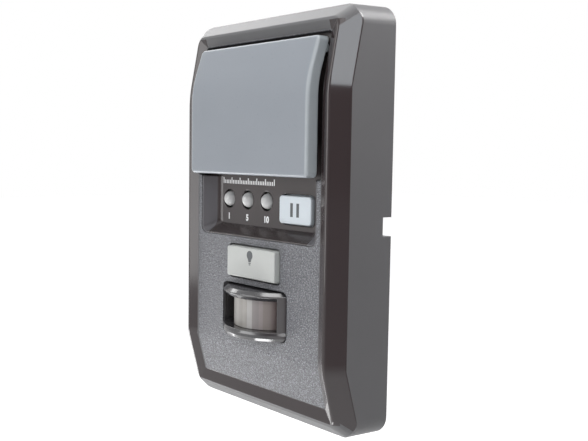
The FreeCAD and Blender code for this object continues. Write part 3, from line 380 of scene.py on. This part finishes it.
# The black mouldings inside: the lid that carries the bar and lifts with it, the shield round the
# motion sensor, and the bodies of the six push switches on the board.
inner_black, inner_dusty = (0.012, 0.012, 0.013, 1), (0.020, 0.020, 0.021, 1)
black_paint = Paint("black_moulding", IOR=1.5)
matt = black_paint.noise(5.0, 3.0)
black_paint.set(
    Base_Color=black_paint.mix(matt, inner_black, inner_dusty),
    Roughness=0.48 + matt * 0.15,
    Normal=black_paint.bump(matt * 0.012),
)
black_paint.onto(nodes["bar_carrier"], nodes["sensor_shroud"], nodes["switch_bodies"])

# The two hinge pins, cut from bright drawn steel wire. The bar and its lid swing on them, one at each
# upper corner.
steel_grey, steel_bright = (0.55, 0.55, 0.56, 1), (0.66, 0.66, 0.67, 1)
pin_paint = Paint("bright_steel", Metallic=1.0)
drawn = pin_paint.noise(6.0, 2.0)
pin_paint.set(Base_Color=pin_paint.mix(drawn, steel_grey, steel_bright), Roughness=0.22 + drawn * 0.1)
pin_paint.onto(nodes["hinge_pins"])

# The two coil springs that push the cap away from its black lid. Each is wound from thin spring wire,
# stands on the lid and meets the cap's skin from behind.
spring_x, spring_z, spring_radius, spring_wire = 0.01416, 0.01848, 0.0018, 0.00018
spring_foot, spring_top, spring_turns = -0.02096, -0.02302, 2
rings, around = 64, 10
coils = bmesh.new()
for side in (-1, 1):
    last = None
    for step in range(rings + 1):
        share = step / rings
        turn = 2 * math.pi * spring_turns * share
        outward = Vector((math.cos(turn), 0, math.sin(turn)))
        centre = Vector((side * spring_x, spring_foot + (spring_top - spring_foot) * share, spring_z))
        centre += spring_radius * outward
        ring = []
        for corner in range(around):
            angle = 2 * math.pi * corner / around
            off = math.cos(angle) * outward + math.sin(angle) * Vector((0, 1, 0))
            ring.append(coils.verts.new(centre + spring_wire * off))
        if last:
            for i in range(around):
                j = (i + 1) % around
                coils.faces.new((last[i], last[j], ring[j], ring[i]))
        if step in (0, rings):
            coils.faces.new(ring)
        last = ring
bmesh.ops.recalc_face_normals(coils, faces=coils.faces)
coil_mesh = bpy.data.meshes.new("bar_coils")
coils.to_mesh(coil_mesh)
coils.free()
for polygon in coil_mesh.polygons:
    polygon.use_smooth = len(polygon.vertices) == 4
bar_coils = stand("bar_coils", coil_mesh)
pin_paint.onto(bar_coils)
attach(bar_coils, "bar_lid")
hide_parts("bar_springs")
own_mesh(bar_coils)

# The lamps. Clear round-nosed epoxy lamps stand on the board behind three round holes, and two small
# ones light the bar from behind. Tinned lead frames show inside those behind the holes.
epoxy_clear, epoxy_bright = (0.88, 0.88, 0.87, 1), (0.96, 0.96, 0.95, 1)
tin_grey, tin_bright = (0.55, 0.55, 0.54, 1), (0.68, 0.68, 0.67, 1)
lamp_paint = Paint("clear_epoxy", IOR=1.5, Transmission_Weight=0.45, Roughness=0.04)
ripple = lamp_paint.noise(0.5, 1.0)
lamp_paint.set(Base_Color=lamp_paint.mix(ripple, epoxy_clear, epoxy_bright))
lamp_paint.onto(*[nodes["timer_lamp_" + label] for label in lamp_row])
lamp_paint.onto(nodes["bar_lamps"])
lead_paint = Paint("tinned_frame", Metallic=1.0)
tinning = lead_paint.noise(4.0, 2.0)
lead_paint.set(Base_Color=lead_paint.mix(tinning, tin_grey, tin_bright), Roughness=0.3 + tinning * 0.1)
lead_paint.onto(nodes["lamp_leads"])

# The hold button. A satin white moulded cap in the panel, with a plain grey mark of two upright strokes
# printed on it. The plungers of the six switches are moulded in the same white.
cap_white, cap_pale = (0.56, 0.61, 0.65, 1), (0.61, 0.655, 0.69, 1)
mark_grey, mark_pale = (0.060, 0.065, 0.070, 1), (0.085, 0.090, 0.095, 1)
hold_x, hold_z = 0.0151, 0.0033
stroke_width, stroke_height, stroke_gap = 0.0012, 0.0042, 0.0016
button_ink = ink_thickness * 0.6
white_paint = Paint(
    "white_moulding", IOR=1.48,
    Subsurface_Weight=0.15, Subsurface_Scale=0.0006, Subsurface_Radius=(1, 1, 1),
)
mottle = white_paint.noise(0.3, 2.0)
skin = white_paint.noise(3.0, 2.0)
white_paint.set(
    Base_Color=white_paint.mix(mottle, cap_white, cap_pale),
    Roughness=0.34 + skin * 0.08,
    Normal=white_paint.bump(skin * 0.004),
)
white_paint.onto(nodes["hold_button"])
for key in ("hold", "light", "lock", "learn", "timer", "bar"):
    white_paint.onto(nodes[key + "_switch_plunger"])

grey_ink = Paint("grey_ink", IOR=1.45)
speck = grey_ink.noise(7.0, 3.0)
grey_ink.set(Base_Color=grey_ink.mix(speck, mark_grey, mark_pale), Roughness=0.45 + speck * 0.1)


def printed_on(name, outlines, button, body):
    """A grey print lying on a button's front face."""
    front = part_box(button)[0].y
    piece = flat_shapes(name, outlines, front, button_ink)
    grey_ink.onto(piece)
    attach(piece, body)


strokes = []
for side in (-1, 1):
    near = hold_x + side * stroke_gap / 2
    far = near + side * stroke_width
    low, high = hold_z - stroke_height / 2, hold_z + stroke_height / 2
    strokes.append(strip(min(near, far), max(near, far), low, high))
printed_on("hold_mark", strokes, "hold_button", "hold_cap")

# The light button. A wide warm grey cap standing out of the grained face, with a plain lamp bulb mark.
# The three small buttons behind the lifted bar are the same moulding.
warm_grey, warm_pale = (0.415, 0.425, 0.410, 1), (0.450, 0.460, 0.445, 1)
bulb_x, bulb_z, bulb_radius, bulb_steps = -0.00015, -0.0116, 0.00145, 32
neck_angle, neck_half, neck_drop = -52, 0.00055, 0.0021
bulb_cap_rows = ((0.00055, 0.0026, 0.0023), (0.0004, 0.0031, 0.0028))
grey_paint = Paint(
    "grey_moulding", IOR=1.48,
    Subsurface_Weight=0.1, Subsurface_Scale=0.0006, Subsurface_Radius=(1, 1, 1),
)
mottle = grey_paint.noise(0.25, 2.0)
skin = grey_paint.noise(3.0, 2.0)
grey_paint.set(
    Base_Color=grey_paint.mix(mottle, warm_grey, warm_pale),
    Roughness=0.36 + skin * 0.08,
    Normal=grey_paint.bump(skin * 0.004),
)
grey_paint.onto(*[nodes[key + "_button"] for key in ("light", "lock", "learn", "timer")])

bulb = []
for step in range(bulb_steps + 1):
    angle = math.radians(neck_angle + step * (180 - 2 * neck_angle) / bulb_steps)
    bulb.append((bulb_x + bulb_radius * math.cos(angle), bulb_z + bulb_radius * math.sin(angle)))
bulb += [(bulb_x - neck_half, bulb_z - neck_drop), (bulb_x + neck_half, bulb_z - neck_drop)]
bulb_mark = [bulb]
for half, foot, top in bulb_cap_rows:
    bulb_mark.append(strip(bulb_x - half, bulb_x + half, bulb_z - foot, bulb_z - top))
printed_on("bulb_mark", bulb_mark, "light_button", "light_cap")

# The sensor bezel. A glossy black surround with a bulging brow above its window and a lip below it,
# moulded in one piece. It clamps the flange of the lens.
bezel_black, bezel_shade = (0.026, 0.025, 0.027, 1), (0.034, 0.033, 0.036, 1)
bezel_paint = Paint("bezel_moulding", IOR=1.75)
shade = bezel_paint.noise(0.2, 2.0)
skin = bezel_paint.noise(2.5, 2.0)
bezel_paint.set(
    Base_Color=bezel_paint.mix(shade, bezel_black, bezel_shade),
    Roughness=0.12 + skin * 0.03,
    Normal=bezel_paint.bump(skin * 0.004, bezel_paint.soft_edge(0.35)),
)
bezel_paint.onto(nodes["sensor_bezel"])

# The sensor lens. A thin milky moulding, part of an upright cylinder on a flat flange, with narrow
# upright sections. The bands laid along them are painted light and shade across its curve: a painted
# highlight band, then painted shade that darkens it towards its right end. Each line here says where a
# band starts, where it is full, and its colour. The rate of the ribs, like that of the board's weave, is
# in radians a millimetre.
milk_warm, milk_pale = (0.270, 0.258, 0.240, 1), (0.320, 0.308, 0.285, 1)
milk_haze = (0.20, 0.17, 0.16, 1)
# Painted light and shade: a pale painted highlight band, then tones that darken towards the lens's right
# end.
lens_light_bands = (
    (1.9, 2.3, (0.385, 0.375, 0.365, 1)),
    (3.8, 4.2, (0.245, 0.222, 0.222, 1)),
    (6.0, 6.3, (0.295, 0.262, 0.257, 1)),
    (7.1, 7.4, (0.245, 0.212, 0.200, 1)),
    (8.6, 9.8, (0.16, 0.120, 0.115, 1)),
)
rib_rate = 1.65
lens_paint = Paint(
    "milky_lens", IOR=1.5,
    Subsurface_Weight=0.3, Subsurface_Scale=0.0006, Subsurface_Radius=(1, 1, 1),
)
across = lens_paint.axes()[0]
rib = (across * rib_rate).sine().between(0.0, 0.6)
haze = lens_paint.noise(0.5, 2.0)
milk = lens_paint.mix(rib, milk_warm, milk_pale)
# Each band lays its painted highlight or painted shade over the milk from its start onwards.
for start, full, band_light_colour in lens_light_bands:
    milk = lens_paint.mix(across.between(start, full), milk, band_light_colour)
lens_paint.set(Base_Color=lens_paint.mix(haze * 0.25, milk, milk_haze), Roughness=0.38 + rib * 0.1)
lens_paint.onto(nodes["sensor_lens"])

# The motion sensor. A nickel-plated can with a dark filter window in its front, soldered to the board.
# The cans of the crystal and the two capacitors have the same metal.
nickel_grey, nickel_bright = (0.52, 0.50, 0.46, 1), (0.64, 0.62, 0.58, 1)
window_dark, window_sheen = (0.010, 0.006, 0.009, 1), (0.022, 0.014, 0.020, 1)
can_paint = Paint("nickel_can", Metallic=1.0)
tarnish = can_paint.noise(0.8, 3.0)
can_paint.set(
    Base_Color=can_paint.mix(tarnish, nickel_grey, nickel_bright),
    Roughness=0.25 + tarnish * 0.15,
)
can_paint.onto(nodes["motion_sensor"], nodes["crystal"], nodes["capacitors"])
filter_paint = Paint("dark_window", IOR=1.5, Roughness=0.08)
sheen = filter_paint.noise(1.0, 2.0)
filter_paint.set(Base_Color=filter_paint.mix(sheen, window_dark, window_sheen))
filter_paint.onto(nodes["sensor_filter"])

# The circuit board. A green glass-fibre laminate with copper tracks under its lacquer, screwed to the
# posts of the back plate. The weave of the cloth shows faintly.
lacquer_green, track_green = (0.012, 0.090, 0.040, 1), (0.020, 0.150, 0.065, 1)
weave_rate, track_relief, weave_relief = 7.0, 0.03, 0.004
board_paint = Paint("green_laminate", IOR=1.5)
across, _, up = board_paint.axes()
weave = (across * weave_rate).sine() * (up * weave_rate).sine()
track = board_paint.noise(0.5, 0.0).between(0.52, 0.55)
board_paint.set(
    Base_Color=board_paint.mix(track, lacquer_green, track_green),
    Roughness=0.28 + weave * 0.05,
    Normal=board_paint.bump(track * track_relief + weave * weave_relief),
)
board_paint.onto(nodes["circuit_board"])

# The controller chip and the resistors: small packages of matt black moulding compound, soldered to
# the front of the board.
package_black, package_pale = (0.016, 0.016, 0.017, 1), (0.028, 0.028, 0.029, 1)
package_paint = Paint("moulded_package", IOR=1.5)
pore = package_paint.noise(9.0, 3.0)
package_paint.set(
    Base_Color=package_paint.mix(pore, package_black, package_pale),
    Roughness=0.5 + pore * 0.15,
    Normal=package_paint.bump(pore * 0.01),
)
package_paint.onto(nodes["controller_chip"], nodes["resistors"])

# The terminal block. A dark blue moulding on the back of the board with two brass clamp plates, which
# the wires from the wall reach through the window in the back plate.
block_blue, block_pale = (0.020, 0.060, 0.110, 1), (0.028, 0.075, 0.130, 1)
brass_dark, brass_bright = (0.66, 0.50, 0.22, 1), (0.78, 0.62, 0.32, 1)
block_paint = Paint("terminal_moulding", IOR=1.5)
pore = block_paint.noise(5.0, 3.0)
block_paint.set(Base_Color=block_paint.mix(pore, block_blue, block_pale), Roughness=0.4 + pore * 0.12)
block_paint.onto(nodes["terminal_block"])
brass_paint = Paint("clamp_brass", Metallic=1.0)
patina = brass_paint.noise(0.9, 3.0)
brass_paint.set(
    Base_Color=brass_paint.mix(patina, brass_dark, brass_bright),
    Roughness=0.28 + patina * 0.15,
)
brass_paint.onto(nodes["terminal_plates"])

# The studio floor: a pale matt plane well below the wall control, which the camera sees white. Glossy
# parts mirror it white too, and dark with a trace of red towards the room.
floor_drop, floor_size = 0.35, 12.0
floor_pale, floor_seen = (0.65, 0.65, 0.65, 1), (0.87, 0.87, 0.87, 1)
floor_white, floor_room, no_glow = (0.86, 0.86, 0.86, 1), (0.26, 0.20, 0.20, 1), (0, 0, 0, 1)
room_across, room_deep, room_from, room_to = 1.21, 0.13, 400.0, 1300.0
half = floor_size / 2
floor_mesh = bpy.data.meshes.new("studio_floor")
corners = [(sx * half, sy * half, -floor_drop) for sx, sy in ((-1, -1), (1, -1), (1, 1), (-1, 1))]
floor_mesh.from_pydata(corners, [], [(0, 1, 2, 3)])
floor = stand("studio_floor", floor_mesh)
floor_paint = Paint("pale_floor", Base_Color=floor_pale, Roughness=0.8)
seen = floor_paint.node("ShaderNodeLightPath", output="Is Camera Ray")
shine = floor_paint.node("ShaderNodeLightPath", output="Is Glossy Ray")
through = floor_paint.node("ShaderNodeLightPath", output="Is Transmission Ray")
across, deep, _ = floor_paint.axes()
towards_room = (across * room_across - deep * room_deep).between(room_from, room_to)
mirrored = floor_paint.mix(towards_room, floor_white, floor_room)
glow = floor_paint.mix(shine.most(through), no_glow, mirrored)
floor_paint.set(Emission_Color=floor_paint.mix(seen, glow, floor_seen), Emission_Strength=1.0)
floor_paint.onto(floor)

# The camera. It stands as the photograph's did, fitted to the edges of the case: its place, the
# directions to its right and up, and the length of its lens.
camera_at, camera_lens, camera_sensor = Vector((0.20155, -0.18106, 0.02010)), 50.61, 36.0
camera_right = Vector((0.65919, 0.75181, 0.01561))
camera_up = Vector((-0.07018, 0.04084, 0.99670))
towards_camera = camera_right.cross(camera_up)
camera_data = bpy.data.cameras.new("camera")
camera_data.lens = camera_lens
camera_data.sensor_width = camera_sensor
camera_data.sensor_fit = "HORIZONTAL"
camera_data.clip_start = 0.01
camera = stand("camera", camera_data)
camera_turn = Matrix((camera_right, camera_up, towards_camera)).transposed().to_4x4()
camera.matrix_world = Matrix.Translation(camera_at) @ camera_turn
bpy.context.scene.camera = camera
bpy.context.scene.view_settings.view_transform = "Standard"

# The white surround. The camera sees plain white, and matt parts get a dim even light from it. In
# glossy parts it is white to one side and a dark room with a trace of red to the other.
even_light, white = (0.19, 0.195, 0.205, 1), (1, 1, 1, 1)
room_dark, room_edge, room_full = (0.28, 0.215, 0.215, 1), -0.15, 0.55
room_way = tuple(towards_camera + 0.7 * camera_right)
world = bpy.data.worlds.new("studio")
bpy.context.scene.world = world
world.use_nodes = True


class Surround(Paint):
    """The world's background, built with the same node method as a finish."""

    def __init__(self, world):
        self.tree = world.node_tree
        self.shader = self.tree.nodes["Background"]


sky = Surround(world)
seen = sky.node("ShaderNodeLightPath", output="Is Camera Ray")
shine = sky.node("ShaderNodeLightPath", output="Is Glossy Ray")
through = sky.node("ShaderNodeLightPath", output="Is Transmission Ray")
direction = sky.node("ShaderNodeTexCoord", output="Generated")
ways = {0: direction, 1: room_way}
facing = sky.node("ShaderNodeVectorMath", {"operation": "DOT_PRODUCT"}, ways, "Value")
room = sky.mix(facing.between(room_edge, room_full), white, room_dark)
ambient = sky.mix(shine.most(through), even_light, room)
sky.set(Color=sky.mix(seen, ambient, white), Strength=1.0)

# The lamps of the studio: soft boxes at several sides, each with its place, its size and its power in
# watts. Small ones give single edges and bevels of the case the light that they have in the photograph.
bevel_aim, rim_aim, foot_aim = (0.034, -0.02, 0.05), (0.038, 0, 0.06), (-0.02, 0, -0.05)
cool_white = (0.88, 0.95, 1.0)


def softbox(name, place, size, power, target=(0, 0, 0), tint=(1, 1, 1)):
    """A rectangular soft lamp that looks at a point of the wall control."""
    data = bpy.data.lights.new(name, "AREA")
    data.shape = "RECTANGLE"
    data.size, data.size_y = size
    data.energy = power
    data.color = tint
    lamp = stand(name, data)
    lamp.location = place
    lamp.visible_camera = False
    lamp.rotation_euler = (Vector(target) - Vector(place)).to_track_quat("-Z", "Y").to_euler()


softbox("front_softbox", (-0.35, -0.95, 0.20), (0.7, 0.8), 5.8)
softbox("facet_softbox", (0.598, -0.359, 0.276), (0.22, 0.18), 0.78, bevel_aim, cool_white)
softbox("side_softbox", (0.32, -0.16, 0.36), (0.3, 0.3), 0.75, bevel_aim)
softbox("rim_softbox", (0.17, 0.12, 0.24), (0.12, 0.12), 1.06, rim_aim)
softbox("top_softbox", (-0.05, -0.15, 0.85), (0.6, 0.4), 4.0)
softbox("left_softbox", (-0.52, 0.06, 0.46), (0.4, 0.4), 1.9)
softbox("low_softbox", (-0.44, -0.18, -0.27), (0.18, 0.18), 0.75, foot_aim)
softbox("glint_softbox", (0.41, -0.48, -0.05), (0.34, 0.34), 0.20)
softbox("table_softbox", (0.01, -0.15, -0.26), (0.13, 0.04), 0.22)
